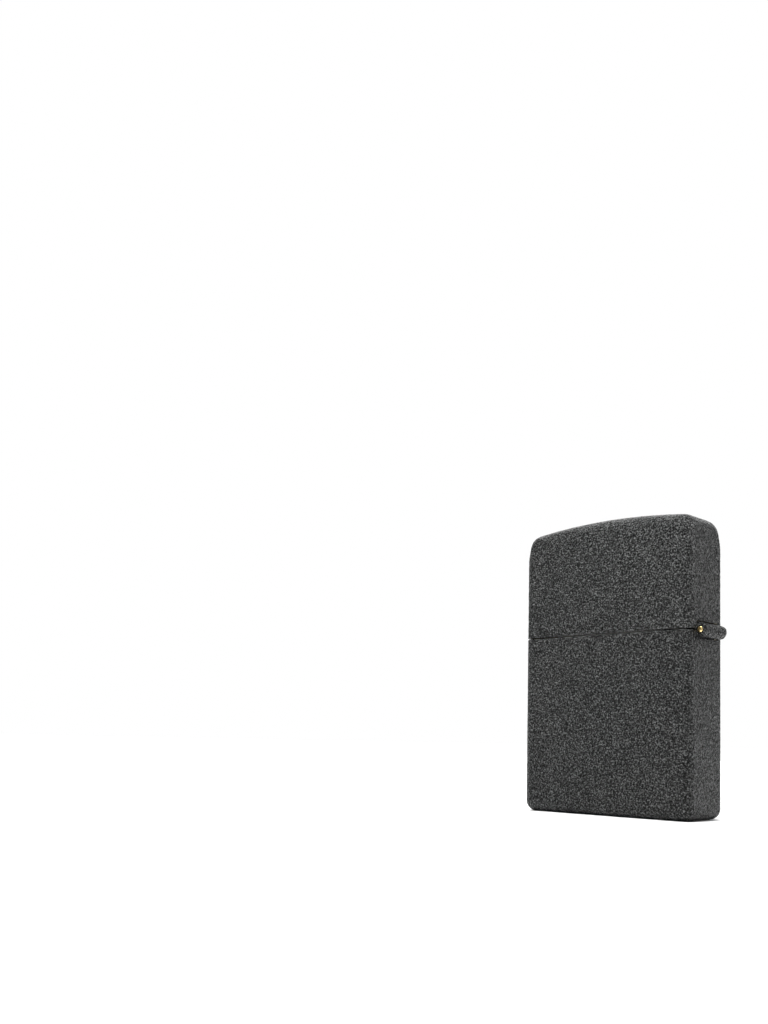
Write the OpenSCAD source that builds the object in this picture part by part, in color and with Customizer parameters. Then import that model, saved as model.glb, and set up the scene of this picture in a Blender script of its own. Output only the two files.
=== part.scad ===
// Flip-top windproof pocket lighter, closed.
// Millimetres. +Z up, origin at the centre of the flat bottom of the can,
// front face at -Y, hinge at +X.

/* [Case] */
// Width of the case, without the hinge barrel
case_w = 36.8; // [36.4:0.1:37.4]
// Depth of the case, front to back
case_d = 12.9; // [12.9:0.1:13.4]
// Height of the closed case at the middle of the crown
case_h = 57.2; // [56.8:0.1:58.2]
// Height at which the lid and the can part
split_z = 34.6; // [34.4:0.1:34.8]
// Gap between the rim of the can and the rim of the lid
split_gap = 0.1; // [0.06:0.02:0.14]
// Wall of the drawn brass shells
wall = 0.66; // [0.6:0.02:0.7]
// Radius of the four upright edges
r_edge = 1.8; // [1.5:0.1:2.2]
// Radius of the lower corners, seen from the front
r_bottom = 2.1; // [1.8:0.1:2.4]
// Radius of the upper corners, seen from the front
r_top = 2.5; // [2.1:0.1:3]
// Radius of the long edges around the top
r_rim = 2.3; // [1.8:0.1:2.6]
// Radius of the long edges around the base
r_base = 2.1; // [1.8:0.1:2.4]
// Radius of the crowned top
crown_r = 120; // [100:5:160]

/* [Hinge] */
// Distance of the hinge axis outside the side of the case
hinge_out = 0.55; // [0.5:0.05:0.6]
// Radius of the hinge barrel
barrel_r = 1.3; // [1.2:0.05:1.3]
// Length of the hinge barrel
barrel_l = 7.8; // [7.2:0.2:8]
// Radius of the hinge pin
pin_r = 0.6; // [0.5:0.05:0.65]
// Thickness of the hinge leaves
leaf_t = 0.4; // [0.35:0.05:0.4]
// Height of each hinge leaf above or below its bend
leaf_h = 6.4; // [5:0.2:7]

/* [Insert] */
// Width of the fuel tank
tank_w = 34.6; // [34.2:0.1:34.6]
// Depth of the fuel tank
tank_d = 11.3; // [11:0.1:11.3]
// Sheet of the fuel tank
tank_t = 0.4; // [0.3:0.05:0.4]
// Height of the windscreen above the deck
chimney_h = 17.7; // [16.5:0.1:18.2]
// Depth of the windscreen
chimney_d = 8.4; // [8.2:0.1:8.8]
// Sheet of the windscreen
chimney_t = 0.5; // [0.4:0.05:0.5]
// Radius of the vent holes in the windscreen
vent_r = 1.1; // [0.9:0.1:1.2]

/* [Spark wheel and flint] */
// Radius of the spark wheel over its teeth
wheel_r = 3.9; // [3.7:0.1:4]
// Teeth around the spark wheel
wheel_teeth = 40; // [30:2:48]
// Width of the toothed band
wheel_w = 5.6; // [5:0.2:6]
// Radius of the rivet that the wheel turns on
axle_r = 0.75; // [0.6:0.05:0.8]
// Radius of the flint
flint_r = 1.17; // [1.1:0.01:1.2]
// Turns of the flint spring
spring_turns = 24; // [18:1:26]

/* [Wick] */
// Radius of the wick
wick_r = 1.6; // [1.4:0.1:1.6]
// Height of the wick above the deck
wick_up = 12.2; // [10:0.2:13]

/* [Hidden] */
$fn = 48;

coat = [0.25, 0.26, 0.26];
brass = [0.80, 0.64, 0.32];
steel = [0.78, 0.79, 0.80];
dark_steel = [0.45, 0.46, 0.47];

// Case
in_w = case_w - 2 * wall;
in_d = case_d - 2 * wall;
crown_z = case_h - crown_r;

// Hinge
hinge_x = case_w / 2 + hinge_out;
notch_y = barrel_l / 2 + 0.08;
notch_lo = split_z - 1.4;
notch_hi = split_z + 1.7;
leaf_x1 = in_w / 2;
leaf_x0 = leaf_x1 - leaf_t;
leaf_y = barrel_l / 2 - 0.3;
knuckle_gap = 0.08;
knuckle = barrel_l / 5;
bend = 0.75;

// Insert, set a little away from the hinge leaves
tank_x = -0.25;
tank_z0 = 1.7;
tank_r = 1.1;
rim_z = split_z - split_gap / 2;
lip = 0.3;
deck_z1 = rim_z - 0.25;
deck_t = 0.4;
deck_z0 = deck_z1 - deck_t;

// Windscreen
chim_x0 = -6.5;
chim_x1 = 12.5;
chim_top = deck_z1 + chimney_h;
chim_y1 = chimney_d / 2;
chim_y0 = chim_y1 - chimney_t;
vent_pitch = 4.6;
vent_x = 3.0;
vent_z = deck_z1 + 10.3;
vent_row = 4.0;

// Spark wheel
wheel_x = -9.6;
wheel_z = deck_z1 + 12.3;
tooth_h = 0.28;
wheel_half = chim_y0 - 0.1;

// Cam
cam_x = 13.6;
cam_z = deck_z1 + 4.3;
cam_hub = 2.0;
tip_x = leaf_x0 - 0.89;
tip_z = cam_z + 3.3;
tip_r = 0.7;
cam_half = 1.7;
tab_t = 0.5;
tab_y0 = cam_half + 0.2;
tab_y1 = tab_y0 + tab_t;

// Flint train
tube_r = 1.8;
tube_bore = 1.35;
tube_z0 = 2.6;
tube_z1 = wheel_z - wheel_r - 0.5;
flint_z1 = wheel_z - wheel_r - 0.08;
flint_z0 = flint_z1 - 5;
plunger_head = 1.9;
spring_rm = 0.86;
spring_rw = 0.16;
screw_z0 = 1.55;
screw_head_r = 2.5;
screw_top = 9;

// Wick and packing
wick_x = 1.8;
ball_r = 4.8;
ball_x = [-2.75, 7.0];
ball_z = [9.3, 18.9, 28.5];

// Rectangle with round corners, centred
module rrect(w, h, r) {
    square([w - 2 * r, h], center = true);
    square([w, h - 2 * r], center = true);
    for (sx = [-1, 1]) for (sy = [-1, 1])
        translate([sx * (w / 2 - r), sy * (h / 2 - r)]) circle(r);
}

// Sides that run straight between two circles, each a little inside its tangent
module flank(x1, y1, r1, x2, y2, r2) {
    d = sqrt(pow(x2 - x1, 2) + pow(y2 - y1, 2));
    a = atan2(y2 - y1, x2 - x1);
    b = acos((r1 - r2) / d);
    e = 0.01;
    polygon([[x1, y1],
             [x1 + (r1 - e) * cos(a + b), y1 + (r1 - e) * sin(a + b)],
             [x2 + (r2 - e) * cos(a + b), y2 + (r2 - e) * sin(a + b)],
             [x2, y2],
             [x2 + (r2 - e) * cos(a - b), y2 + (r2 - e) * sin(a - b)],
             [x1 + (r1 - e) * cos(a - b), y1 + (r1 - e) * sin(a - b)]]);
}

// Flat shape in the XZ plane, thickened along Y between y0 and y1
module in_xz(y0, y1) {
    translate([0, y1, 0]) rotate([90, 0, 0]) linear_extrude(y1 - y0) children();
}

module round_y(x, z, r, y0, y1) {
    translate([x, y1, z]) rotate([90, 0, 0]) cylinder(h = y1 - y0, r = r);
}

// Outline of the case from the front: crowned top, rounded corners
module front_outline(i) {
    w2 = case_w / 2 - i;
    rb = r_bottom - i;
    rt = r_top - i;
    rc = crown_r - i;
    cx = w2 - rt;
    cz = crown_z + sqrt(pow(rc - rt, 2) - cx * cx);
    low = cz - 1;
    lx = cx * (low - crown_z) / (cz - crown_z);
    k = (rc + 4) / (rc - rt);
    translate([-w2, i + rb]) square([2 * w2, cz - i - rb]);
    translate([-(w2 - rb), i]) square([2 * (w2 - rb), 6]);
    for (s = [-1, 1]) {
        translate([s * (w2 - rb), i + rb]) circle(rb);
        translate([s * cx, cz]) circle(rt);
    }
    intersection() {
        translate([0, crown_z]) circle(rc, $fn = 360);
        polygon([[-lx, low], [lx, low], [cx * k, crown_z + (cz - crown_z) * k],
                 [0, case_h + 8], [-cx * k, crown_z + (cz - crown_z) * k]]);
    }
}

// Outline of the case from the side, square at the top
module side_outline(i) {
    d2 = case_d / 2 - i;
    rb = r_base - i;
    translate([-d2, i + rb]) square([2 * d2, case_h]);
    translate([-(d2 - rb), i]) square([2 * (d2 - rb), 6]);
    for (s = [-1, 1]) translate([s * (d2 - rb), i + rb]) circle(rb);
}

// Crowned cap turned about the centre of the crown, its long edges rounded
module crown_disc(i) {
    d2 = case_d / 2 - i;
    rr = r_rim - i;
    rc = crown_r - i;
    translate([0, 0, crown_z]) rotate([90, 0, 0]) rotate_extrude($fn = 360) {
        translate([0, -d2]) square([rc - rr, 2 * d2]);
        translate([0, -(d2 - rr)]) square([rc, 2 * (d2 - rr)]);
        for (s = [-1, 1]) translate([rc - rr, s * (d2 - rr)]) circle(rr);
    }
}

module case_form(i) {
    intersection() {
        in_xz(-case_d, case_d) front_outline(i);
        linear_extrude(case_h + 5) rrect(case_w - 2 * i, case_d - 2 * i, r_edge - i);
        rotate([90, 0, 90]) linear_extrude(case_w + 4, center = true) side_outline(i);
        crown_disc(i);
    }
}

module hinge_notch() {
    translate([in_w / 2 - 1, -notch_y, notch_lo])
        cube([4, 2 * notch_y, notch_hi - notch_lo]);
}

module tank_outline(grow) {
    translate([tank_x, 0])
        rrect(tank_w + 2 * grow, tank_d + 2 * grow, tank_r + grow);
}

module bottom_case() {
    color(coat) difference() {
        intersection() {
            case_form(0);
            translate([-case_w, -case_d, -1]) cube([2 * case_w, 2 * case_d, rim_z + 1]);
        }
        case_form(wall);
        hinge_notch();
        // seat for the lip of the insert, on three sides
        translate([-in_w / 2 - lip, -in_d / 2 - lip, rim_z - lip])
            cube([in_w - 2 + lip, in_d + 2 * lip, 1]);
    }
}

module lid() {
    color(coat) difference() {
        intersection() {
            case_form(0);
            translate([-case_w, -case_d, rim_z + split_gap])
                cube([2 * case_w, 2 * case_d, case_h]);
        }
        case_form(wall);
        hinge_notch();
    }
}

// One rolled knuckle with the strip that joins it to its leaf
module knuckle_blank(k, up) {
    y0 = -barrel_l / 2 + k * knuckle + (k > 0 ? knuckle_gap / 2 : 0);
    y1 = -barrel_l / 2 + (k + 1) * knuckle - (k < 4 ? knuckle_gap / 2 : 0);
    round_y(hinge_x, split_z, barrel_r, y0, y1);
    translate([leaf_x0, y0, up ? split_z : split_z - bend - 0.3])
        cube([hinge_x - barrel_r + leaf_t - leaf_x0, y1 - y0, bend + 0.3]);
}

module lower_hinge_leaf() {
    color(coat) difference() {
        union() {
            translate([leaf_x0, -leaf_y, split_z - bend - leaf_h])
                cube([leaf_t, 2 * leaf_y, leaf_h]);
            for (k = [0, 2, 4]) knuckle_blank(k, false);
        }
        round_y(hinge_x, split_z, pin_r, -barrel_l, barrel_l);
    }
}

module upper_hinge_leaf() {
    color(coat) difference() {
        union() {
            translate([leaf_x0, -leaf_y, split_z + bend])
                cube([leaf_t, 2 * leaf_y, leaf_h]);
            for (k = [1, 3]) knuckle_blank(k, true);
        }
        round_y(hinge_x, split_z, pin_r + 0.06, -barrel_l, barrel_l);
    }
}

module hinge_pin() {
    color(brass) round_y(hinge_x, split_z, pin_r, -barrel_l / 2, barrel_l / 2);
}

module insert_tank() {
    color(steel) {
        difference() {
            union() {
                translate([0, 0, tank_z0]) linear_extrude(rim_z - tank_z0) tank_outline(0);
                // turned-out lip that rests on the rim of the can
                intersection() {
                    translate([0, 0, rim_z - lip]) linear_extrude(lip)
                        rrect(in_w + 2 * lip - 0.1, in_d + 2 * lip - 0.1, 1);
                    translate([-case_w, -case_d, 0]) cube([case_w + in_w / 2 - 2.1, 2 * case_d, case_h]);
                }
            }
            linear_extrude(case_h) tank_outline(-tank_t);
        }
    }
}

// Side plate that carries the spark wheel
module wheel_ear() {
    polygon([[chim_x0 + 1, deck_z1], [wheel_x - 2.0, deck_z1], [wheel_x - 2.95, wheel_z - 0.6],
             [wheel_x, wheel_z], [wheel_x + 1.0, wheel_z + 2.83], [chim_x0 + 1, chim_top - 0.6]]);
    translate([wheel_x, wheel_z]) circle(3);
}

// Tab that carries the cam
module cam_tab() {
    polygon([[chim_x1 - chimney_t, deck_z1], [cam_x + 1.9, deck_z1], [cam_x + 1.9, cam_z],
             [cam_x, cam_z + 1.9], [chim_x1 - chimney_t, cam_z + 1.9]]);
    translate([cam_x, cam_z]) circle(1.9);
}

module chimney() {
    color(steel) difference() {
        union() {
            // deck
            translate([0, 0, deck_z0]) linear_extrude(deck_t) tank_outline(-tank_t);
            // windscreen wall, rounded at the hinge end
            translate([0, 0, deck_z1]) linear_extrude(chimney_h) difference() {
                union() {
                    translate([chim_x0, -chim_y1]) square([8, 2 * chim_y1]);
                    translate([(chim_x0 + chim_x1) / 2, 0])
                        rrect(chim_x1 - chim_x0, 2 * chim_y1, 2.2);
                }
                translate([chim_x0 + chimney_t, -chim_y0]) square([8, 2 * chim_y0]);
                translate([(chim_x0 + chim_x1) / 2, 0])
                    rrect(chim_x1 - chim_x0 - 2 * chimney_t, 2 * chim_y0, 2.2 - chimney_t);
            }
            for (s = [-1, 1]) {
                in_xz(min(s * chim_y0, s * chim_y1), max(s * chim_y0, s * chim_y1)) wheel_ear();
                in_xz(min(s * tab_y0, s * tab_y1), max(s * tab_y0, s * tab_y1)) cam_tab();
            }
        }
        // opening for the spark wheel
        translate([chim_x0 - 1, -chim_y0, wheel_z - wheel_r - 0.8])
            cube([1 + chimney_t + 0.1, 2 * chim_y0, 30]);
        // slot for the cam and its spring
        translate([chim_x1 - 1.2, -tab_y0, deck_z1]) cube([3, 2 * tab_y0, 7.6]);
        // vents, three, two and three on each side
        for (r = [-1, 0, 1]) for (c = r == 0 ? [-0.5, 0.5] : [-1, 0, 1])
            round_y(vent_x + c * vent_pitch, vent_z + r * vent_row, vent_r, -case_d, case_d);
        // holes for the two axle rivets, the wick, the flint tube and the spring rivet
        round_y(wheel_x, wheel_z, axle_r, -case_d, case_d);
        round_y(cam_x, cam_z, 0.7, -case_d, case_d);
        translate([wick_x, 0, deck_z0 - 1]) cylinder(h = 3, r = wick_r + 0.1);
        translate([wheel_x, 0, deck_z0 - 1]) cylinder(h = 3, r = tube_r);
        translate([6.2, 0, deck_z0 - 1]) cylinder(h = 3, r = 0.6);
    }
}

module cam() {
    color(steel) difference() {
        union() {
            round_y(cam_x, cam_z, cam_hub, -cam_half, cam_half);
            round_y(tip_x, tip_z, tip_r, -cam_half, cam_half);
            in_xz(-cam_half, cam_half) flank(cam_x, cam_z, cam_hub, tip_x, tip_z, tip_r);
        }
        round_y(cam_x, cam_z, 0.75, -case_d, case_d);
    }
}

module cam_rivet() {
    color(steel) {
        round_y(cam_x, cam_z, 0.7, -tab_y1, tab_y1);
        round_y(cam_x, cam_z, 1.2, tab_y1, tab_y1 + 0.45);
        round_y(cam_x, cam_z, 1.2, -tab_y1 - 0.45, -tab_y1);
    }
}

module cam_spring() {
    color(steel) difference() {
        in_xz(-1.3, 1.3) polygon([
            [4.4, deck_z1], [8.0, deck_z1], [10.6, deck_z1 + 1.35], [14.6, cam_z - cam_hub - 0.42],
            [14.6, cam_z - cam_hub - 0.17], [10.5, deck_z1 + 1.62], [7.95, deck_z1 + 0.25],
            [4.4, deck_z1 + 0.25]]);
        translate([6.2, 0, deck_z0 - 1]) cylinder(h = 5, r = 0.6);
    }
}

module cam_spring_rivet() {
    color(brass) {
        translate([6.2, 0, deck_z0 - 0.35]) cylinder(h = deck_t + 0.95, r = 0.6);
        translate([6.2, 0, deck_z1 + 0.25]) cylinder(h = 0.4, r = 1.05);
        translate([6.2, 0, deck_z0 - 0.35]) cylinder(h = 0.35, r = 1.05);
    }
}

// Outline of the toothed band
function tooth_ring(n, r0, r1) = [for (i = [0 : 2 * n - 1])
    let (r = i % 2 == 0 ? r1 : r0, a = 180 * i / n) [r * cos(a), r * sin(a)]];

module flint_wheel() {
    color(dark_steel) difference() {
        union() {
            in_xz(-wheel_w / 2, wheel_w / 2) translate([wheel_x, wheel_z])
                polygon(tooth_ring(wheel_teeth, wheel_r - tooth_h, wheel_r));
            round_y(wheel_x, wheel_z, 2.0, -wheel_half, wheel_half);
        }
        round_y(wheel_x, wheel_z, axle_r + 0.05, -case_d, case_d);
    }
}

module wheel_rivet() {
    color(steel) {
        round_y(wheel_x, wheel_z, axle_r, -chim_y1, chim_y1);
        round_y(wheel_x, wheel_z, 1.5, chim_y1, chim_y1 + 0.5);
        round_y(wheel_x, wheel_z, 1.5, -chim_y1 - 0.5, -chim_y1);
    }
}

module flint_tube() {
    color(brass) translate([wheel_x, 0, tube_z0]) difference() {
        cylinder(h = tube_z1 - tube_z0, r = tube_r);
        translate([0, 0, -1]) cylinder(h = tube_z1 + 2, r = tube_bore);
    }
}

module flint() {
    color([0.30, 0.30, 0.31]) translate([wheel_x, 0, flint_z0]) cylinder(h = flint_z1 - flint_z0, r = flint_r);
}

module flint_plunger() {
    color(brass) translate([wheel_x, 0, flint_z0 - plunger_head]) {
        cylinder(h = plunger_head, r = 1.15);
        translate([0, 0, -2]) cylinder(h = 2.5, r = 0.5);
    }
}

// Wire of radius rw wound on radius rm from z0 to z1
module coil(rm, rw, z0, z1, turns, seg, sides) {
    n = turns * seg;
    pts = [for (i = [0 : n]) let (a = 360 * i / seg, zc = z0 + (z1 - z0) * i / n)
        for (j = [0 : sides - 1]) let (b = 360 * j / sides, r = rm + rw * cos(b))
            [r * cos(a), r * sin(a), zc + rw * sin(b)]];
    walls = [for (i = [0 : n - 1]) for (j = [0 : sides - 1]) for (t = [0, 1])
        let (p = i * sides + j, q = i * sides + (j + 1) % sides)
            t == 0 ? [p, q, q + sides] : [p, q + sides, p + sides]];
    cap0 = [for (j = [1 : sides - 2]) [0, j + 1, j]];
    cap1 = [for (j = [1 : sides - 2]) [n * sides, n * sides + j, n * sides + j + 1]];
    polyhedron(pts, [for (f = concat(walls, cap0, cap1)) [f[2], f[1], f[0]]]);
}

module flint_spring() {
    color(steel) translate([wheel_x, 0, 0])
        coil(spring_rm, spring_rw, screw_top + 0.2, flint_z0 - plunger_head - 0.2, spring_turns, 10, 6);
}

module flint_screw() {
    color(brass) translate([wheel_x, 0, 0]) difference() {
        union() {
            translate([0, 0, screw_z0]) cylinder(h = tube_z0 - screw_z0 - 0.02, r = screw_head_r);
            translate([0, 0, screw_z0]) cylinder(h = screw_top - screw_z0, r = tube_bore - 0.05);
        }
        translate([-screw_head_r - 1, -0.35, screw_z0 - 1]) cube([2 * screw_head_r + 2, 0.7, 1.5]);
    }
}

module wick() {
    color([0.86, 0.83, 0.74]) translate([wick_x, 0, 12])
        cylinder(h = deck_z1 + wick_up - 12, r = wick_r);
}

module packing() {
    color([0.93, 0.92, 0.88]) difference() {
        for (x = ball_x) for (z = ball_z) translate([x, 0, z]) sphere(ball_r);
        translate([wick_x, 0, 11.9]) cylinder(h = 60, r = wick_r + 0.1);
    }
}

module felt_pad() {
    color([0.82, 0.79, 0.72]) difference() {
        translate([0, 0, tank_z0 + 0.2]) linear_extrude(2.4) tank_outline(-tank_t - 0.05);
        translate([wheel_x, 0, 1]) cylinder(h = 4, r = screw_head_r + 0.3);
    }
}

bottom_case();
lid();
lower_hinge_leaf();
upper_hinge_leaf();
hinge_pin();
insert_tank();
chimney();
cam();
cam_rivet();
cam_spring();
cam_spring_rivet();
flint_wheel();
wheel_rivet();
flint_tube();
flint();
flint_plunger();
flint_spring();
flint_screw();
wick();
packing();
felt_pad();
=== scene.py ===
import json
import math

import bmesh
import bpy
import numpy as np
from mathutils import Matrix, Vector


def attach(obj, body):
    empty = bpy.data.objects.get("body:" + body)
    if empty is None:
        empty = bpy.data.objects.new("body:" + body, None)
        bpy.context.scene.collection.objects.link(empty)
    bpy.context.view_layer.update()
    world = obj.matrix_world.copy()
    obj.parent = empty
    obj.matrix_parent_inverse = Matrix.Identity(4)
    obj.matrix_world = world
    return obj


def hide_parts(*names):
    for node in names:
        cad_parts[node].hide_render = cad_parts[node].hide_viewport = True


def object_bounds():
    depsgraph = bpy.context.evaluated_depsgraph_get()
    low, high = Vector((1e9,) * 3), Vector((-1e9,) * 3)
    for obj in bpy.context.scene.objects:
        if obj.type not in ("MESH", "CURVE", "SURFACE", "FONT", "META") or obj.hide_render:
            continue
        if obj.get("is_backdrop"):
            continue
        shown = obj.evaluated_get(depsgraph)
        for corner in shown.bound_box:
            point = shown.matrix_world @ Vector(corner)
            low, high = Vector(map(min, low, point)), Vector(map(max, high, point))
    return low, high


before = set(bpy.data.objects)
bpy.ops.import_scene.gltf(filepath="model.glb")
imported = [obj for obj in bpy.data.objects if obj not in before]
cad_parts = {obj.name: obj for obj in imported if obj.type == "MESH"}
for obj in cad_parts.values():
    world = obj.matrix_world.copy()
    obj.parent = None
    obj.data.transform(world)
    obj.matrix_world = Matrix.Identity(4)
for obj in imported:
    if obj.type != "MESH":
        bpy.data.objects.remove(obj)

scene = bpy.context.scene
MM = 0.001


def plain(b):
    return json.loads(json.dumps(b, default=lambda v: [float(x) for x in v]))


START_BOX = plain(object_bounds())


# ---------------------------------------------------------------- noise

def hash3(ix, iy, iz, seed):
    h = (
        ix.astype(np.int64) * 73856093
        ^ iy.astype(np.int64) * 19349663
        ^ iz.astype(np.int64) * 83492791
        ^ seed * 2654435761
    ) & 0xFFFFFFFF
    h = (h ^ (h >> 15)) * 2246822519 & 0xFFFFFFFF
    h = (h ^ (h >> 13)) * 3266489917 & 0xFFFFFFFF
    h = h ^ (h >> 16)
    return h.astype(np.float64) / 4294967295.0


def value_noise(p, cell, seed):
    """Smooth lattice noise from 0 to 1 at points p, with cells of that size."""
    q = p / cell
    i = np.floor(q).astype(np.int64)
    f = q - i
    f = f * f * (3 - 2 * f)
    out = 0
    for dx in (0, 1):
        for dy in (0, 1):
            for dz in (0, 1):
                w = (
                    (f[:, 0] if dx else 1 - f[:, 0])
                    * (f[:, 1] if dy else 1 - f[:, 1])
                    * (f[:, 2] if dz else 1 - f[:, 2])
                )
                out = out + w * hash3(i[:, 0] + dx, i[:, 1] + dy, i[:, 2] + dz, seed)
    return out


def crackle(p):
    """The coat's wrinkles, about 0 with a spread near 1, at points p in metres."""
    a = value_noise(p, 0.42 * MM, 3) - 0.5
    b = value_noise(p, 0.27 * MM, 11) - 0.5
    c = value_noise(p, 1.1 * MM, 19) - 0.5
    ridge = 0.5 - np.abs(value_noise(p, 0.6 * MM, 29) - 0.5) * 2
    return 1.5 * a + 1.6 * b + 0.6 * c + 0.9 * ridge


# ---------------------------------------------------------------- mesh helpers

def make(name, verts, faces, body, nodes=(), smooth=True):
    me = bpy.data.meshes.new(name)
    verts = np.asarray(verts, float)
    me.from_pydata([tuple(v) for v in verts], [], [tuple(int(i) for i in f) for f in faces])
    me.validate()
    me.update()
    if smooth:
        me.polygons.foreach_set("use_smooth", [True] * len(me.polygons))
    ob = bpy.data.objects.new(name, me)
    scene.collection.objects.link(ob)
    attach(ob, body)
    if nodes:
        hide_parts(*nodes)
    return ob


def fast_mesh(name, verts, quads, body, slot, nodes=(), smooth=True):
    """Like make, for large meshes of quads given as an array."""
    verts = np.asarray(verts, np.float32)
    quads = np.asarray(quads, np.int32)
    me = bpy.data.meshes.new(name)
    me.vertices.add(len(verts))
    me.vertices.foreach_set("co", verts.ravel())
    me.loops.add(quads.size)
    me.loops.foreach_set("vertex_index", quads.ravel())
    me.polygons.add(len(quads))
    me.polygons.foreach_set("loop_start", np.arange(0, quads.size, 4, dtype=np.int32))
    me.polygons.foreach_set("use_smooth", np.full(len(quads), smooth))
    me.update(calc_edges=True)
    me.validate()
    ob = bpy.data.objects.new(name, me)
    scene.collection.objects.link(ob)
    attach(ob, body)
    if nodes:
        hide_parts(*nodes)
    return ob


# ---------------------------------------------------------------- materials

def nodes_of(name):
    m = bpy.data.materials.new(name)
    m.use_nodes = True
    nt = m.node_tree
    nt.nodes.clear()
    out = nt.nodes.new("ShaderNodeOutputMaterial")
    bsdf = nt.nodes.new("ShaderNodeBsdfPrincipled")
    nt.links.new(bsdf.outputs["BSDF"], out.inputs["Surface"])
    co = nt.nodes.new("ShaderNodeTexCoord")
    return m, nt, bsdf, co


def noise_node(nt, co, scale, detail=4.0, rough=0.55, stretch=None):
    n = nt.nodes.new("ShaderNodeTexNoise")
    n.inputs["Scale"].default_value = scale
    n.inputs["Detail"].default_value = detail
    n.inputs["Roughness"].default_value = rough
    if stretch:
        mp = nt.nodes.new("ShaderNodeMapping")
        mp.inputs["Scale"].default_value = stretch
        nt.links.new(co.outputs["Object"], mp.inputs["Vector"])
        nt.links.new(mp.outputs["Vector"], n.inputs["Vector"])
    else:
        nt.links.new(co.outputs["Object"], n.inputs["Vector"])
    return n


def ramp(nt, source, stops):
    r = nt.nodes.new("ShaderNodeValToRGB")
    el = r.color_ramp.elements
    while len(el) > 1:
        el.remove(el[-1])
    el[0].position, el[0].color = stops[0][0], (*stops[0][1], 1)
    for pos, col in stops[1:]:
        e = el.new(pos)
        e.color = (*col, 1)
    nt.links.new(source, r.inputs["Fac"])
    return r


def grey(v):
    return (v, v, v)


def bump(nt, bsdf, height, distance, strength=1.0, before=None):
    b = nt.nodes.new("ShaderNodeBump")
    b.inputs["Strength"].default_value = strength
    b.inputs["Distance"].default_value = distance
    nt.links.new(height, b.inputs["Height"])
    if before:
        nt.links.new(before.outputs["Normal"], b.inputs["Normal"])
    nt.links.new(b.outputs["Normal"], bsdf.inputs["Normal"])
    return b


def coat_material():
    m, nt, bsdf, co = nodes_of("crackle_coat")
    fine = noise_node(nt, co, 3300, 2.5, 0.62)
    lumps = noise_node(nt, co, 1900, 2.0, 0.5)
    cells = nt.nodes.new("ShaderNodeTexVoronoi")
    cells.feature = "SMOOTH_F1"
    cells.inputs["Scale"].default_value = 2300
    cells.inputs["Smoothness"].default_value = 0.35
    nt.links.new(co.outputs["Object"], cells.inputs["Vector"])
    wear = noise_node(nt, co, 60, 5.0, 0.6)
    # base colour from the fine lumps: painted shade, darkest in the crevices, and painted highlight specks, lightest on
    # the lump tops
    col = ramp(nt, fine.outputs["Fac"], [(0.38, grey(0.004)), (0.50, grey(0.011)), (0.58, grey(0.036)), (0.70, grey(0.13))])
    tint = ramp(nt, wear.outputs["Fac"], [(0.3, (0.82, 0.88, 0.87)), (0.7, (0.97, 1.0, 0.98))])
    # specular level from the same lumps: painted crevice shade, low in the crevices and high on the lump tops
    shine_with_crevice_shade = ramp(nt, fine.outputs["Fac"], [(0.38, grey(0.04)), (0.50, grey(0.20)), (0.64, grey(0.66))])
    nt.links.new(shine_with_crevice_shade.outputs["Color"], bsdf.inputs["Specular IOR Level"])
    mix = nt.nodes.new("ShaderNodeMix")
    mix.data_type = "RGBA"
    mix.blend_type = "MULTIPLY"
    mix.inputs["Factor"].default_value = 1.0
    nt.links.new(col.outputs["Color"], mix.inputs["A"])
    nt.links.new(tint.outputs["Color"], mix.inputs["B"])
    nt.links.new(mix.outputs["Result"], bsdf.inputs["Base Color"])
    rr = ramp(nt, lumps.outputs["Fac"], [(0.3, grey(0.26)), (0.7, grey(0.46))])
    nt.links.new(rr.outputs["Color"], bsdf.inputs["Roughness"])
    b1 = bump(nt, bsdf, lumps.outputs["Fac"], 0.00042, 1.0)
    b2 = bump(nt, bsdf, cells.outputs["Distance"], 0.00016, 1.0, before=b1)
    bump(nt, bsdf, fine.outputs["Fac"], 0.00034, 1.0, before=b2)
    return m


def metal_material(name, tones, rough, grain=(1, 1, 1), scale=900, bump_d=2e-5, scratch=0.4):
    """A metal with drawn grain, small stains and handling marks. tones are the darkest and lightest colour."""
    m, nt, bsdf, co = nodes_of(name)
    g = noise_node(nt, co, scale, 5.0, 0.6, stretch=grain)
    stain = noise_node(nt, co, 160, 5.0, 0.62)
    marks = nt.nodes.new("ShaderNodeTexVoronoi")
    marks.feature = "DISTANCE_TO_EDGE"
    marks.inputs["Scale"].default_value = 420
    nt.links.new(co.outputs["Object"], marks.inputs["Vector"])
    col = ramp(nt, g.outputs["Fac"], [(0.3, tones[0]), (0.7, tones[1])])
    st = ramp(nt, stain.outputs["Fac"], [(0.35, grey(0.72)), (0.55, grey(1.0))])
    mix = nt.nodes.new("ShaderNodeMix")
    mix.data_type = "RGBA"
    mix.blend_type = "MULTIPLY"
    mix.inputs["Factor"].default_value = scratch
    nt.links.new(col.outputs["Color"], mix.inputs["A"])
    nt.links.new(st.outputs["Color"], mix.inputs["B"])
    nt.links.new(mix.outputs["Result"], bsdf.inputs["Base Color"])
    bsdf.inputs["Metallic"].default_value = 1.0
    rr = ramp(nt, stain.outputs["Fac"], [(0.3, grey(max(0.05, rough - 0.09))), (0.7, grey(rough + 0.12))])
    nt.links.new(rr.outputs["Color"], bsdf.inputs["Roughness"])
    b1 = bump(nt, bsdf, g.outputs["Fac"], bump_d, 0.6)
    bump(nt, bsdf, marks.outputs["Distance"], bump_d, 0.15, before=b1)
    return m


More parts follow.
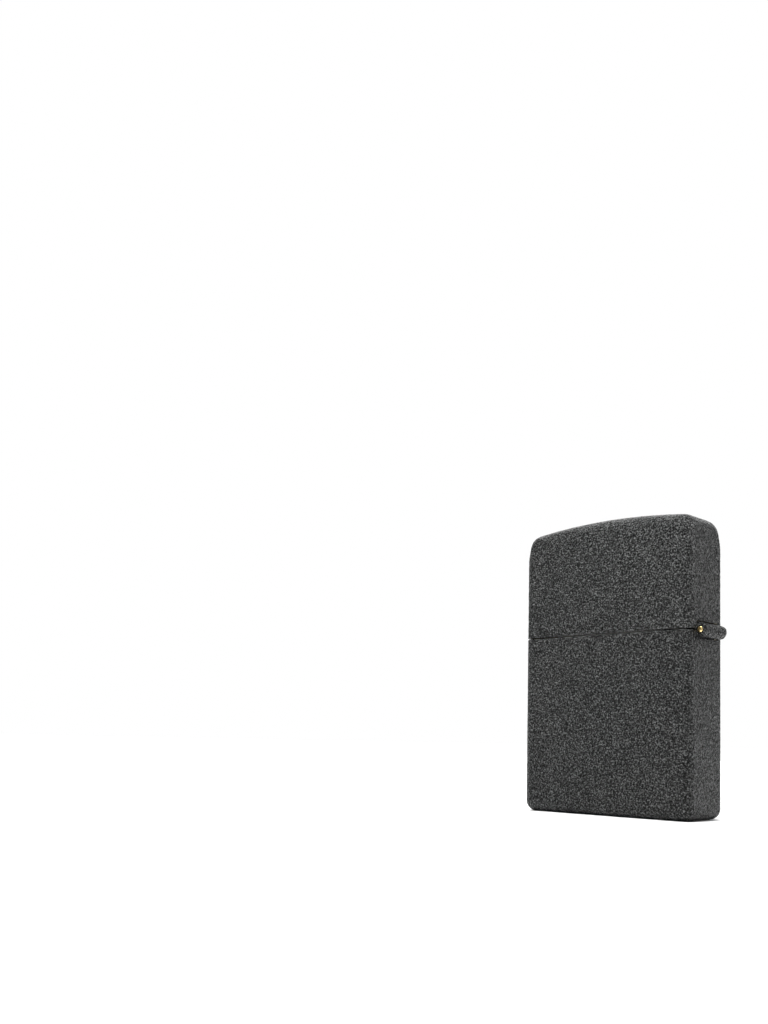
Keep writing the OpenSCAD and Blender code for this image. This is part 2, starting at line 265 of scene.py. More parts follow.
def fibre_material(name, tones, scale, stretch, bump_d=1.5e-4):
    m, nt, bsdf, co = nodes_of(name)
    g = noise_node(nt, co, scale, 6.0, 0.7, stretch=stretch)
    soil = noise_node(nt, co, 220, 4.0, 0.6)
    col = ramp(nt, g.outputs["Fac"], [(0.3, tones[0]), (0.68, tones[1])])
    st = ramp(nt, soil.outputs["Fac"], [(0.35, (0.80, 0.76, 0.68)), (0.6, (1, 1, 1))])
    mix = nt.nodes.new("ShaderNodeMix")
    mix.data_type = "RGBA"
    mix.blend_type = "MULTIPLY"
    mix.inputs["Factor"].default_value = 0.8
    nt.links.new(col.outputs["Color"], mix.inputs["A"])
    nt.links.new(st.outputs["Color"], mix.inputs["B"])
    nt.links.new(mix.outputs["Result"], bsdf.inputs["Base Color"])
    rr = ramp(nt, g.outputs["Fac"], [(0.3, grey(0.95)), (0.7, grey(0.8))])
    nt.links.new(rr.outputs["Color"], bsdf.inputs["Roughness"])
    bump(nt, bsdf, g.outputs["Fac"], bump_d, 0.8)
    return m


COAT = coat_material()
BRASS_BARE = metal_material("bare_brass", ((0.50, 0.36, 0.14), (0.72, 0.55, 0.26)), 0.30, (1, 1, 0.12), 1400)
RIM = metal_material("rim_edge", ((0.46, 0.42, 0.33), (0.70, 0.66, 0.56)), 0.30, (1, 1, 0.3), 1400)
INSIDE = metal_material("case_inside", ((0.45, 0.40, 0.30), (0.66, 0.60, 0.47)), 0.33, (1, 1, 0.08), 1100)
BRASS = metal_material("hinge_brass", ((0.62, 0.44, 0.17), (0.86, 0.67, 0.34)), 0.22, (1, 1, 1), 1800)
STEEL = metal_material("stainless", ((0.50, 0.50, 0.49), (0.68, 0.68, 0.67)), 0.27, (1, 1, 0.06), 1300)
SPRING = metal_material("spring_steel", ((0.34, 0.34, 0.35), (0.50, 0.50, 0.51)), 0.33, (0.08, 1, 1), 1300)
HARD = metal_material("hard_steel", ((0.20, 0.20, 0.21), (0.40, 0.40, 0.40)), 0.34, (1, 0.4, 1), 2200, 3e-5)
TUBE = metal_material("tube_brass", ((0.55, 0.40, 0.16), (0.78, 0.60, 0.30)), 0.30, (1, 1, 0.1), 1500)
FLINT = metal_material("flint", ((0.10, 0.10, 0.10), (0.22, 0.21, 0.20)), 0.55, (1, 1, 1), 2600, 6e-5)
WICK = fibre_material("wick_cotton", ((0.52, 0.48, 0.40), (0.86, 0.83, 0.75)), 2600, (1, 1, 0.25))
COTTON = fibre_material("cotton_balls", ((0.66, 0.64, 0.60), (0.92, 0.91, 0.88)), 1500, (1, 1, 1), 3e-4)
FELT = fibre_material("felt", ((0.40, 0.39, 0.37), (0.66, 0.65, 0.62)), 2200, (1, 1, 0.6), 2e-4)


# ---------------------------------------------------------------- case shells

HX, HY, TOP = 18.4, 6.45, 57.2
RX, RY = 1.9, 1.85
RX_TOP, RY_TOP = 2.5, 3.3
RZ_LOW, RZ_TOP = 2.1, 2.8
CAN_RIM, LID_RIM = 34.55, 34.65
WALL = 0.66
CROWN_R = 120.0
NOTCH_Y, NOTCH_LOW, NOTCH_HIGH = 3.98, 33.2, 36.3
LIP_END = 15.74


def lines(a, b, step, marks=()):
    """Coordinates from a to b about step apart that include every mark."""
    stops = sorted({a, b, *[m for m in marks if a < m < b]})
    out = [a]
    for p, q in zip(stops[:-1], stops[1:]):
        n = max(1, int(round((q - p) / step)))
        out += [p + (q - p) * (i + 1) / n for i in range(n)]
    return np.array(out)


def shell_point(x, y, z, d, low):
    """Where box point x, y, z lies on the rounded shell, d inside its outer face, with its outward direction."""
    rz = RZ_LOW if low else RZ_TOP
    t = 0 * z if low else np.clip((z - 51.5) / 4.0, 0, 1)
    t = t * t * (3 - 2 * t)
    rx = RX + (RX_TOP - RX) * t
    ry = RY + (RY_TOP - RY) * t
    cx = np.clip(x, -(HX - rx), HX - rx)
    cy = np.clip(y, -(HY - ry), HY - ry)
    cz = np.maximum(z, rz) if low else np.minimum(z, TOP - rz)
    v = np.stack([(x - cx) / rx, (y - cy) / ry, (z - cz) / rz], -1)
    n = v / np.maximum(np.linalg.norm(v, axis=-1, keepdims=True), 1e-9)
    r = np.stack([rx - d, ry - d, rz - d], -1)
    p = np.stack([cx, cy, cz], -1) + r * n
    if not low:
        drop = CROWN_R - np.sqrt(CROWN_R ** 2 - p[..., 0] ** 2)
        p[..., 2] -= drop * np.clip((p[..., 2] - NOTCH_HIGH) / (TOP - NOTCH_HIGH), 0, 1)
    return p, n


def case_shell(name, low, step, node, body):
    gx = lines(-HX, HX, step, [LIP_END])
    gy = lines(-HY, HY, step, [-NOTCH_Y, NOTCH_Y])
    nx, ny = len(gx), len(gy)
    cols = (
        [(gx[i], -HY, i, 0) for i in range(nx - 1)]
        + [(HX, gy[i], nx - 1, i) for i in range(ny - 1)]
        + [(gx[i], HY, i, ny - 1) for i in range(nx - 1, 0, -1)]
        + [(-HX, gy[i], 0, i) for i in range(ny - 1, 0, -1)]
    )
    nc = len(cols)
    X = np.array([c[0] for c in cols])
    Y = np.array([c[1] for c in cols])
    column_at = {(c[2], c[3]): j for j, c in enumerate(cols)}
    one = np.ones(nc)
    # every row of the wall, from one side of the sheet round the rim to the other: height, depth, coated
    if low:
        upper = [33.2, 33.41, 33.62, 33.83, 34.04, 34.25]
        outer = [(z, 0.0) for z in lines(0, 33.2, step)] + [(z, 0.0) for z in upper[1:]] + [(34.40, 0.0)]
        on_lip = X < LIP_END - 1e-6
        rows = [(z * one, d * one, True) for z, d in outer]
        rows += [
            (34.46 * one, 0.03 * one, True),
            (34.52 * one, 0.09 * one, True),
            (CAN_RIM * one, 0.15 * one, True),
            (CAN_RIM * one, 0.36 * one, False),
            (np.where(on_lip, 34.25, CAN_RIM), np.where(on_lip, 0.36, WALL), False),
            (34.25 * one, WALL * one, False),
        ]
        inner = upper[::-1][1:] + list(lines(0, 33.2, 1.9, [0.66, 1.2, 2.1]))[::-1][1:]
        rows += [(z * one, WALL * one, False) for z in inner]
        k_face_out, k_face_in = 0, len(rows) - 1
    else:
        upper = [34.90, 35.1, 35.34, 35.58, 35.82, 36.06, NOTCH_HIGH]
        inner = list(lines(NOTCH_HIGH, TOP, 1.7, [TOP - 2.45, TOP - 1.2, TOP - 0.6]))[::-1] + upper[::-1][1:]
        rows = [(z * one, WALL * one, False) for z in inner]
        rows += [
            (34.80 * one, (WALL - 0.05) * one, True),
            (34.74 * one, 0.22 * one, True),
            (34.77 * one, 0.07 * one, True),
            (34.83 * one, 0.0 * one, True),
        ]
        outer = upper + list(lines(NOTCH_HIGH, TOP, step))[1:]
        rows += [(z * one, 0.0 * one, True) for z in outer]
        k_face_out, k_face_in = len(rows) - 1, 0
    nr = len(rows)
    Z = np.array([r[0] for r in rows])
    D = np.array([r[1] for r in rows])
    P, N = shell_point(np.tile(X, (nr, 1)), np.tile(Y, (nr, 1)), Z, D, low)
    verts = P.reshape(-1, 3)
    normals = N.reshape(-1, 3)
    depth = D.ravel()
    boxz = Z.ravel()
    boxy = np.tile(Y, nr)
    boxx = np.tile(X, nr)

    inside_face = [(i, j) for i in range(1, nx - 1) for j in range(1, ny - 1)]
    FX = np.array([gx[i] for i, j in inside_face])
    FY = np.array([gy[j] for i, j in inside_face])
    FZ = np.full(len(FX), 0.0 if low else TOP)
    index = []
    for d, k in ((0.0, k_face_out), (WALL, k_face_in)):
        p, n = shell_point(FX, FY, FZ, np.full(len(FX), d), low)
        base = len(verts)
        verts = np.vstack([verts, p])
        normals = np.vstack([normals, n])
        depth = np.concatenate([depth, np.full(len(FX), d)])
        boxz = np.concatenate([boxz, FZ])
        boxy = np.concatenate([boxy, FY])
        boxx = np.concatenate([boxx, FX])
        table = {ij: base + m for m, ij in enumerate(inside_face)}
        for (i, j), col in column_at.items():
            table[(i, j)] = k * nc + col
        index.append(table)

    faces, mats = [], []
    in_notch = np.array(
        [
            abs(X[j] - HX) < 1e-9
            and abs(X[(j + 1) % nc] - HX) < 1e-9
            and -NOTCH_Y - 1e-6 <= min(Y[j], Y[(j + 1) % nc])
            and max(Y[j], Y[(j + 1) % nc]) <= NOTCH_Y + 1e-6
            for j in range(nc)
        ]
    )
    edge_z = NOTCH_LOW if low else NOTCH_HIGH
    inside_rows = [
        (min(Z[k].min(), Z[k + 1].min()) >= edge_z - 1e-6)
        if low
        else (max(Z[k].max(), Z[k + 1].max()) <= edge_z + 1e-6)
        for k in range(nr - 1)
    ]
    for k in range(nr - 1):
        a, b = k * nc, (k + 1) * nc
        coated = rows[k][2] and rows[k + 1][2]
        for j in range(nc):
            if in_notch[j] and inside_rows[k]:
                continue
            q = (j + 1) % nc
            faces.append((a + j, a + q, b + q, b + j))
            mats.append(0 if coated else 1)
    for t, (table, out) in enumerate(zip(index, (True, False))):
        up = out != low
        for i in range(nx - 1):
            for j in range(ny - 1):
                f = (table[(i, j)], table[(i + 1, j)], table[(i + 1, j + 1)], table[(i, j + 1)])
                faces.append(f if up else f[::-1])
                mats.append(0 if out else 1)
    ks = [k for k in range(nr) if inside_rows[min(k, nr - 2)] or (k and inside_rows[k - 1])]
    k0, k1 = ks[0], ks[-1]
    left = [j for j in range(nc) if in_notch[j]][0]
    right = [j for j in range(nc) if in_notch[j]][-1] + 1
    faces.append(tuple(k * nc + left for k in range(k0, k1 + 1)))
    faces.append(tuple(k * nc + right for k in range(k1, k0 - 1, -1)))
    mats += [1, 1]
    for j in range(left, right):
        faces.append((k0 * nc + j, k0 * nc + j + 1, k1 * nc + j + 1, k1 * nc + j))
        mats.append(1)

    # the coat's lumps, which fade out at the rim and at the hinge notch
    verts = verts * MM
    rim = CAN_RIM - 0.15 if low else LID_RIM + 0.13
    away = np.abs(boxz - rim)
    side = boxx > HX - 1e-6
    dy = np.abs(np.abs(boxy) - NOTCH_Y)
    dz = (edge_z - boxz) if low else (boxz - edge_z)
    gap = np.where(
        side & (np.abs(boxy) < NOTCH_Y), np.abs(dz), np.where(side & (dz < 0), dy, np.hypot(dy, np.maximum(dz, 0)))
    )
    away = np.where(side, np.minimum(away, gap), away)
    w = np.clip(away / 0.35, 0, 1)
    outer_mask = depth < 1e-9
    h = np.zeros(len(verts))
    h[outer_mask] = crackle(verts[outer_mask])
    amount = (0.026 * h - 0.03) * MM * w * outer_mask
    verts = verts + normals * amount[:, None]
    ob = make(name, verts, faces, body, [node])
    ob.data.materials.append(COAT)
    ob.data.materials.append(INSIDE)
    ob.data.polygons.foreach_set("material_index", mats)
    return ob


STEP = 0.235
can = case_shell("case_can", True, STEP, "bottom_case", "case_and_insert")
cap = case_shell("case_lid", False, STEP * 0.9, "lid", "lid")


# ---------------------------------------------------------------- finished copies of CAD pieces

def finish_copy(node, name, body, mat, bevel=0.06, segs=2, limit=0.9, shape=None):
    """A copy of a CAD node with its facets merged, its hard edges broken by a small round and, where shape is given, its points moved by it."""
    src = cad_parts[node]
    bm = bmesh.new()
    bm.from_mesh(src.data)
    bmesh.ops.remove_doubles(bm, verts=bm.verts, dist=2e-6)
    bmesh.ops.dissolve_limit(bm, angle_limit=math.radians(0.8), verts=bm.verts, edges=bm.edges, delimit={"NORMAL"})
    sharp = [e for e in bm.edges if len(e.link_faces) == 2 and e.calc_face_angle(0) > limit]
    if sharp and bevel:
        bmesh.ops.bevel(
            bm, geom=sharp, offset=bevel * MM, offset_type="OFFSET", segments=segs, profile=0.6, affect="EDGES", clamp_overlap=True
        )
    bmesh.ops.remove_doubles(bm, verts=bm.verts, dist=5e-7)
    big = [f for f in bm.faces if len(f.verts) > 4]
    bmesh.ops.triangulate(bm, faces=big)
    if shape:
        for v in bm.verts:
            v.co = shape(v.co)
    me = bpy.data.meshes.new(name)
    bm.to_mesh(me)
    bm.free()
    me.polygons.foreach_set("use_smooth", [True] * len(me.polygons))
    try:
        me.set_sharp_from_angle(angle=math.radians(34))
    except Exception:
        pass
    ob = bpy.data.objects.new(name, me)
    scene.collection.objects.link(ob)
    me.materials.clear()
    me.materials.append(mat)
    even = ob.modifiers.new("even_normals", "WEIGHTED_NORMAL")
    even.keep_sharp = True
    even.weight = 100
    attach(ob, body)
    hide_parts(node)
    return ob


def revolve(profile, centre, axis, segs, name, body, mat, nodes=(), radial=None):
    """A closed turned piece. profile is (radius, place along the axis) in mm from one pole to the other; radial adds detail to the radius."""
    prof = np.array(profile, float)
    th = np.linspace(0, 2 * math.pi, segs, endpoint=False)
    verts, faces = [], []
    for r, a in prof:
        for t in th:
            rr = r + (radial(r, a, t) if radial else 0.0)
            u, v = rr * math.cos(t), rr * math.sin(t)
            if axis == "y":
                verts.append((centre[0] + u, centre[1] + a, centre[2] + v))
            else:
                verts.append((centre[0] + u, centre[1] + v, centre[2] + a))
    n = segs
    for i in range(len(prof) - 1):
        for j in range(n):
            k = (j + 1) % n
            f = (i * n + j, i * n + k, (i + 1) * n + k, (i + 1) * n + j)
            faces.append(f if axis == "z" else f[::-1])
    faces.append(tuple(range(n))[::-1] if axis == "z" else tuple(range(n)))
    top = tuple(range((len(prof) - 1) * n, len(prof) * n))
    faces.append(top if axis == "z" else top[::-1])
    ob = make(name, np.array(verts) * MM, faces, body, nodes)
    ob.data.materials.append(mat)
    try:
        ob.data.set_sharp_from_angle(angle=math.radians(38))
    except Exception:
        pass
    return ob


def dome(r, a0, a1, n=6):
    """Profile of a rounded end from the pole at a0 to full radius r at a1."""
    out = [(0.02, a0)]
    for i in range(1, n + 1):
        t = math.pi / 2 * i / n
        out.append((r * math.sin(t), a1 + (a0 - a1) * math.cos(t)))
    return out


# ---------------------------------------------------------------- hinge

HINGE = (18.95, 34.6)
BAR_R, BAR_HALF, KNUCKLE, KGAP = 1.3, 3.9, 1.56, 0.08


def coated_piece(name, parts, body, node):
    """One hinge leaf: rolled knuckles with the coat's lumps on them, and the plate they are rolled from."""
    bm = bmesh.new()
    for kind, args in parts:
        if kind == "knuckle":
            y0, y1, bore = args
            segs = 72
            e = 0.10
            rows = [(bore, y0 + 0.02), (BAR_R - e, y0), (BAR_R - 0.03, y0 + 0.04), (BAR_R, y0 + e)]
            m = max(2, int((y1 - y0 - 2 * e) / (0.11)))
            rows += [(BAR_R, y0 + e + (y1 - y0 - 2 * e) * i / m) for i in range(1, m + 1)]
            rows += [(BAR_R - 0.03, y1 - 0.04), (BAR_R - e, y1), (bore, y1 - 0.02)]
            pts = []
            for r, y in rows:
                for s in range(segs):
                    t = 2 * math.pi * s / segs
                    pts.append((HINGE[0] + r * math.cos(t), y, HINGE[1] + r * math.sin(t)))
            pts = np.array(pts) * MM
            rad = np.array([r for r, y in rows for s in range(segs)])
            nrm = pts - np.stack([np.full(len(pts), HINGE[0] * MM), pts[:, 1], np.full(len(pts), HINGE[1] * MM)], -1)
            nrm /= np.linalg.norm(nrm, axis=1, keepdims=True)
            amount = (0.028 * crackle(pts) - 0.012) * MM * (rad > BAR_R - 0.05)
            pts = pts + nrm * amount[:, None]
            vs = [bm.verts.new(p) for p in pts]
            n = len(rows)
            for i in range(n):
                for s in range(segs):
                    q = (s + 1) % segs
                    a, b = (i % n) * segs, ((i + 1) % n) * segs
                    bm.faces.new((vs[a + q], vs[a + s], vs[b + s], vs[b + q]))
        else:
            lo, hi, fine = args
            tmp = bmesh.new()
            bmesh.ops.create_cube(tmp, size=1.0)
            for v in tmp.verts:
                v.co = Vector([(lo[k] if v.co[k] < 0 else hi[k]) * MM for k in range(3)])
            bmesh.ops.bevel(
                tmp, geom=tmp.edges[:], offset=fine * MM, offset_type="OFFSET", segments=3, profile=0.5, affect="EDGES", clamp_overlap=True
            )
            long_edges = [e for e in tmp.edges if e.calc_length() > 0.3 * MM]
            bmesh.ops.subdivide_edges(tmp, edges=long_edges, cuts=6, use_grid_fill=True)
            me = bpy.data.meshes.new("tmp")
            tmp.to_mesh(me)
            tmp.free()
            bm.from_mesh(me)
            bpy.data.meshes.remove(me)
    bmesh.ops.recalc_face_normals(bm, faces=bm.faces)
    me = bpy.data.meshes.new(name)
    bm.to_mesh(me)
    bm.free()
    me.polygons.foreach_set("use_smooth", [True] * len(me.polygons))
    me.materials.append(COAT)
    ob = bpy.data.objects.new(name, me)
    scene.collection.objects.link(ob)
    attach(ob, body)
    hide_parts(node)
    return ob


def knuckle_span(i):
    y0 = -BAR_HALF + KNUCKLE * i
    return (y0 + (KGAP / 2 if i else 0), y0 + KNUCKLE - (KGAP / 2 if i < 4 else 0))


low_parts = [("knuckle", (*knuckle_span(i), 0.62)) for i in (0, 2, 4)]
low_parts += [("box", ((17.68, knuckle_span(i)[0] + 0.04, 33.72), (18.2, knuckle_span(i)[1] - 0.04, 34.5), 0.05)) for i in (0, 2, 4)]
low_parts += [("box", ((17.34, -3.6, 27.45), (17.72, 3.6, 33.9), 0.08))]
low_parts += [("box", ((17.45, -3.6, 33.3), (17.95, 3.6, 33.8), 0.12))]
coated_piece("hinge_leaf_low", low_parts, "case_and_insert", "lower_hinge_leaf")
up_parts = [("knuckle", (*knuckle_span(i), 0.68)) for i in (1, 3)]
up_parts += [("box", ((17.68, knuckle_span(i)[0] + 0.04, 34.7), (18.2, knuckle_span(i)[1] - 0.04, 35.48), 0.05)) for i in (1, 3)]
up_parts += [("box", ((17.34, -3.6, 35.3), (17.72, 3.6, 41.75), 0.08))]
up_parts += [("box", ((17.45, -3.6, 35.4), (17.95, 3.6, 35.9), 0.12))]
coated_piece("hinge_leaf_high", up_parts, "lid", "upper_hinge_leaf")
pin = [(0.02, -3.94)] + dome(0.56, -3.94, -3.80)[1:] + [(0.6, -3.7)] + [(0.6, y) for y in np.linspace(-3.4, 3.4, 18)] + [(0.6, 3.7)]
pin += [(r, -a) for r, a in dome(0.56, -3.94, -3.80)[::-1]]
revolve(pin, (HINGE[0], 0, HINGE[1]), "y", 40, "hinge_pin_turned", "case_and_insert", BRASS, ["hinge_pin"])


# ---------------------------------------------------------------- the insert and what is on it

root = "case_and_insert"
finish_copy("insert_tank", "insert_tank_sheet", root, STEEL, 0.05)
finish_copy("chimney", "chimney_sheet", root, STEEL, 0.07)
finish_copy("cam", "cam_cut", "cam", STEEL, 0.12, 3)
finish_copy("cam_spring", "cam_spring_strip", root, SPRING, 0.05)
finish_copy("flint_tube", "flint_tube_drawn", root, TUBE, 0.06)
finish_copy("flint", "flint_cast", root, FLINT, 0.12)
finish_copy("flint_plunger", "flint_plunger_turned", root, TUBE, 0.08)
finish_copy("flint_screw", "flint_screw_turned", "flint_screw", TUBE, 0.10)


def rivet(name, centre, r, head_r, y_in, y_out, node):
    prof = []
    for s in (-1, 1):
        part = dome(head_r * 0.96, y_out, y_in + 0.10, 7) + [(head_r, y_in + 0.06), (head_r, y_in + 0.01), (head_r - 0.04, y_in), (r, y_in)]
        if s < 0:
            prof += [(q, -a) for q, a in part]
            prof += [(r, y) for y in np.linspace(-y_in, y_in, 12)[1:-1]]
        else:
            prof += part[::-1]
    revolve(prof, centre, "y", 48, name, root, STEEL, [node])


rivet("cam_rivet_domed", (13.6, 0, 38.6), 0.7, 1.2, 2.4, 2.85, "cam_rivet")
rivet("wheel_rivet_domed", (-9.6, 0, 46.6), 0.75, 1.5, 4.2, 4.7, "wheel_rivet")
prof = [(0.02, 33.55), (0.85, 33.56), (1.05, 33.66), (1.05, 33.84), (0.98, 33.9), (0.6, 33.9), (0.6, 34.35), (0.95, 34.52), (1.05, 34.58)]
prof += [(r, a) for r, a in dome(1.03, 34.95, 34.62, 7)[::-1]]
revolve(prof, (6.2, 0, 0), "z", 48, "spring_rivet_domed", root, STEEL, ["cam_spring_rivet"])


def knurl(r, a, t):
    """Cross-cut teeth on the band of the wheel: ramps round it, cut across by slanted grooves."""
    if abs(a) > 2.85 or r < 3.7:
        return 0.0
    fade = min(1.0, (2.85 - abs(a)) / 0.25)
    u = (t / (2 * math.pi) * 40 + 0.55 * a) % 1.0
    v = (t / (2 * math.pi) * 40 - 0.55 * a) % 1.0
    tooth = 0.16 * (1 - u) + 0.14 * (1 - abs(2 * v - 1))
    return (tooth - 0.3) * fade


wheel = [(0.82, -3.58), (1.8, -3.6), (1.96, -3.5), (2.0, -3.35), (2.0, -2.9), (2.1, -2.84), (3.2, -2.82), (3.55, -2.78), (3.82, -2.6)]
wheel += [(3.9, y) for y in np.linspace(-2.5, 2.5, 34)]
wheel += [(r, -a) for r, a in wheel[:9][::-1]]


def ring_revolve(profile, centre, segs, name, body, mat, nodes, radial):
    """A turned ring about Y with a through bore."""
    prof = np.array(profile, float)
    n, k = segs, len(prof)
    verts, faces = [], []
    for r, a in prof:
        for j in range(n):
            t = 2 * math.pi * j / n
            rr = r + radial(r, a, t)
            verts.append((centre[0] + rr * math.cos(t), centre[1] + a, centre[2] + rr * math.sin(t)))
    for i in range(k):
        for j in range(n):
            q = (j + 1) % n
            a, b = i * n, ((i + 1) % k) * n
            faces.append((a + q, a + j, b + j, b + q))
    ob = make(name, np.array(verts) * MM, faces, body, nodes)
    ob.data.materials.append(mat)
    try:
        ob.data.set_sharp_from_angle(angle=math.radians(40))
    except Exception:
        pass
    return ob


ring_revolve(wheel, (-9.6, 0, 46.6), 320, "flint_wheel_cut", "flint_wheel", HARD, ["flint_wheel"], knurl)


def tube_mesh(paths, radius, sides, name, body, mat, nodes, squeeze=None):
    """Round strands along the given centre lines, joined into one piece."""
    verts, faces = [], []
    for path in paths:
        path = np.array(path, float)
        base = len(verts)
        tan = np.gradient(path, axis=0)
        tan /= np.linalg.norm(tan, axis=1, keepdims=True)
        up = np.array([0.0, 1.0, 0.0]) if abs(tan[0][1]) < 0.9 else np.array([1.0, 0.0, 0.0])
        m = len(path)
        for i in range(m):
            u = up - tan[i] * np.dot(up, tan[i])
            u /= np.linalg.norm(u)
            w = np.cross(tan[i], u)
            up = u
            rr = radius * (1 + 0.10 * math.sin(i * 1.7)) * (0.75 if i in (0, m - 1) else 1)
            for s in range(sides):
                t = 2 * math.pi * s / sides
                verts.append(path[i] + rr * (math.cos(t) * u + math.sin(t) * w))
        for i in range(m - 1):
            for s in range(sides):
                q = (s + 1) % sides
                faces.append((base + i * sides + s, base + i * sides + q, base + (i + 1) * sides + q, base + (i + 1) * sides + s))
        faces.append(tuple(base + s for s in range(sides))[::-1])
        faces.append(tuple(base + (m - 1) * sides + s for s in range(sides)))
    ob = make(name, np.array(verts) * MM, faces, body, nodes)
    ob.data.materials.append(mat)
    return ob


def strand(x0, ring, phase, turns, z0, z1, n):
    out = []
    for i in range(n):
        s = i / (n - 1)
        a = phase + 2 * math.pi * turns * s
        spread = ring * (1 + 0.16 * max(0, s - 0.94) / 0.06)
        out.append((x0 + spread * math.cos(a), spread * math.sin(a), z0 + (z1 - z0) * s))
    return out


strands = [strand(1.8, 1.02, 2 * math.pi * k / 9, 7.0, 12.0, 46.3 - 0.25 * (k % 3), 170) for k in range(9)]
strands.append(strand(1.8, 0.02, 0, 1, 12.0, 46.1, 40))
tube_mesh(strands, 0.45, 8, "wick_strands", root, WICK, ["wick"])
wires = [strand(1.8, 1.42, 2 * math.pi * (k + 0.5) / 3, 7.0, 12.2, 46.4, 170) for k in range(3)]
tube_mesh(wires, 0.07, 6, "wick_wires", root, BRASS, [])

coils = []
n = 24 * 20
for i in range(n + 1):
    s = i / n
    e = min(s, 1 - s) * 24
    a = 2 * math.pi * 24 * s
    coils.append((-9.6 + 0.86 * math.cos(a), 0.86 * math.sin(a), 9.36 + (35.34 - 9.36) * s))
tube_mesh([coils], 0.155, 8, "flint_spring_wire", "flint_spring", SPRING, ["flint_spring"])


def cotton(name, centres, r):
    verts, faces = [], []
    n1, n2 = ((48, 96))
    for c in centres:
        base = len(verts)
        pts = []
        for i in range(n1 + 1):
            for j in range(n2):
                a, b = math.pi * i / n1, 2 * math.pi * j / n2
                pts.append((math.sin(a) * math.cos(b), math.sin(a) * math.sin(b), math.cos(a)))
        pts = np.array(pts)
        world = pts * r * MM + np.array(c) * MM
        h = value_noise(world, 1.5 * MM, 5) * 0.5 + value_noise(world, 0.55 * MM, 6) * 0.28 + value_noise(world, 0.25 * MM, 7) * 0.12
        world = world - pts * (0.75 * (1 - h))[:, None] * MM
        verts += list(world)
        for i in range(n1):
            for j in range(n2):
                q = (j + 1) % n2
                faces.append((base + i * n2 + j, base + (i + 1) * n2 + j, base + (i + 1) * n2 + q, base + i * n2 + q))
    bm = bmesh.new()
    vs = [bm.verts.new(v) for v in verts]
    for f in faces:
        bm.faces.new([vs[k] for k in f])
    bmesh.ops.remove_doubles(bm, verts=bm.verts, dist=1e-7)
    wick_x = 1.8 * MM
    for v in bm.verts:
        dx, dy = v.co.x - wick_x, v.co.y
        d = math.hypot(dx, dy)
        lim = 1.66 * MM
        if 1e-9 < d < lim:
            v.co.x, v.co.y = wick_x + dx / d * lim, dy / d * lim
    me = bpy.data.meshes.new(name)
    bm.to_mesh(me)
    bm.free()
    me.polygons.foreach_set("use_smooth", [True] * len(me.polygons))
    me.materials.append(COTTON)
    ob = bpy.data.objects.new(name, me)
    scene.collection.objects.link(ob)
    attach(ob, root)
    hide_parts("packing")
    return ob


cotton("cotton_packing", [(x, 0, z) for x in (-2.75, 7.0) for z in (9.3, 18.9, 28.5)], 4.8)


def felt_shape(co):
    return co


finish_copy("felt_pad", "felt_pad_cut", root, FELT, 0.25, 3)


# ---------------------------------------------------------------- camera

CAM = dict(p=(108.431, -173.579, 13.36), yaw=0.785589, pitch=0.059813, roll=0.0191766, f=1021.887, cy=680.0)


def place_camera():
    c = CAM
    r0 = Vector((math.cos(c["yaw"]), math.sin(c["yaw"]), 0))
    f0 = Vector((-math.sin(c["yaw"]), math.cos(c["yaw"]), 0))
    z = Vector((0, 0, 1))
    fwd = f0 * math.cos(c["pitch"]) + z * math.sin(c["pitch"])
    up0 = -f0 * math.sin(c["pitch"]) + z * math.cos(c["pitch"])
    right = r0 * math.cos(c["roll"]) + up0 * math.sin(c["roll"])
    up = up0 * math.cos(c["roll"]) - r0 * math.sin(c["roll"])
    cam = bpy.data.objects.new("camera", bpy.data.cameras.new("camera"))
    scene.collection.objects.link(cam)
    from mathutils import Matrix

    m = Matrix((right, up, -fwd)).transposed().to_4x4()
    m.translation = Vector(c["p"]) * MM
    cam.matrix_world = m
    cam.data.sensor_width = 36.0
    cam.data.sensor_fit = "AUTO"
    cam.data.lens = c["f"] * 36.0 / 1024.0
    cam.data.shift_y = (c["cy"] - 512.0) / 1024.0
    cam.data.clip_start = 0.005
    cam.data.clip_end = 20
    scene.camera = cam
    return fwd, right


FWD, RIGHT = place_camera()


# ---------------------------------------------------------------- stage and light

def stage_floor():
    """A level pale floor, wide enough to have no edge in view, with a slight roll of the paper far off."""
    rings = [0.0, 0.03, 0.08, 0.2, 0.5, 1.2, 3.0, 8.0, 20.0]
    n = 64
    verts, faces = [(0.0, 0.0, -0.00002)], []
    for r in rings[1:]:
        for j in range(n):
            t = 2 * math.pi * j / n
            wave = 0.002 * math.sin(3 * t) if r > 4 else 0.0
            verts.append((r * math.cos(t), r * math.sin(t), -0.00002 + wave))
    for j in range(n):
        faces.append((0, 1 + j, 1 + (j + 1) % n))
    for i in range(len(rings) - 2):
        for j in range(n):
            q = (j + 1) % n
            faces.append((1 + i * n + j, 1 + (i + 1) * n + j, 1 + (i + 1) * n + q, 1 + i * n + q))
    me = bpy.data.meshes.new("floor")
    me.from_pydata(verts, [], faces)
    ob = bpy.data.objects.new("floor", me)
    scene.collection.objects.link(ob)
    m, nt, bsdf, co = nodes_of("floor_paper")
    g = noise_node(nt, co, 30, 4.0, 0.5)
    col = ramp(nt, g.outputs["Fac"], [(0.3, grey(0.86)), (0.7, grey(0.90))])
    nt.links.new(col.outputs["Color"], bsdf.inputs["Base Color"])
    bsdf.inputs["Roughness"].default_value = 0.9
    bsdf.inputs["Specular IOR Level"].default_value = 0.1
    me.materials.append(m)
    ob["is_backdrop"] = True


stage_floor()
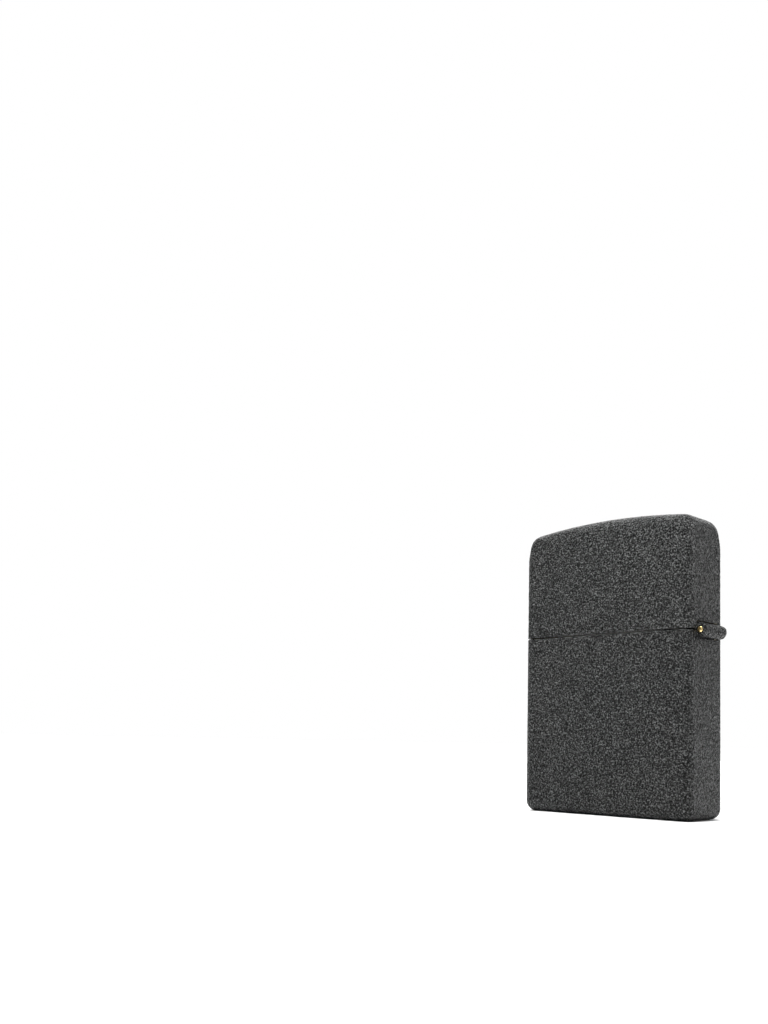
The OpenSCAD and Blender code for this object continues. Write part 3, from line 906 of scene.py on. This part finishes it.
AHEAD = Vector((FWD.x, FWD.y, 0)).normalized()
ACROSS = Vector((AHEAD.y, -AHEAD.x, 0))


def softbox(name, where, size, power, aim=(0, 0, 0.028)):
    li = bpy.data.lights.new(name, "AREA")
    li.shape = "RECTANGLE"
    li.size, li.size_y = size
    li.energy = power
    ob = bpy.data.objects.new(name, li)
    scene.collection.objects.link(ob)
    ob.location = where
    ob.rotation_euler = (Vector(aim) - Vector(where)).to_track_quat("-Z", "Y").to_euler()
    ob.visible_camera = False
    ob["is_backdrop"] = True
    return ob


def around(ahead, across, up):
    return AHEAD * ahead + ACROSS * across + Vector((0, 0, up))


softbox("light_left", (0.0, -0.085, 0.155), (0.07, 0.07), 0.30, aim=(0, 0, 0.05))
softbox("light_right", around(0.14, 0.62, 0.34), (0.30, 0.36), 1.7)
softbox("light_back", around(0.70, 0.15, 0.40), (0.70, 0.60), 3.0)

sun = bpy.data.lights.new("light_sky", "SUN")
sun.energy = 3.7
sun.angle = math.radians(28)
sky = bpy.data.objects.new("light_sky", sun)
scene.collection.objects.link(sky)
sky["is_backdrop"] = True

# a dim room for the object to mirror, and a white backdrop behind it
world = bpy.data.worlds.new("room")
scene.world = world
world.use_nodes = True
wt = world.node_tree
bg = wt.nodes["Background"]
bg.inputs["Color"].default_value = (1.0, 1.0, 1.0, 1)
bg.inputs["Strength"].default_value = 0.07
back = wt.nodes.new("ShaderNodeBackground")
back.inputs["Color"].default_value = (1.0, 1.0, 1.0, 1)
back.inputs["Strength"].default_value = 1.0
path = wt.nodes.new("ShaderNodeLightPath")
both = wt.nodes.new("ShaderNodeMixShader")
wt.links.new(path.outputs["Is Camera Ray"], both.inputs["Fac"])
wt.links.new(bg.outputs["Background"], both.inputs[1])
wt.links.new(back.outputs["Background"], both.inputs[2])
wt.links.new(both.outputs["Shader"], wt.nodes["World Output"].inputs["Surface"])
scene.view_settings.view_transform = "Standard"
scene.view_settings.look = "None"
scene.view_settings.exposure = 0.0

END_BOX = plain(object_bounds())
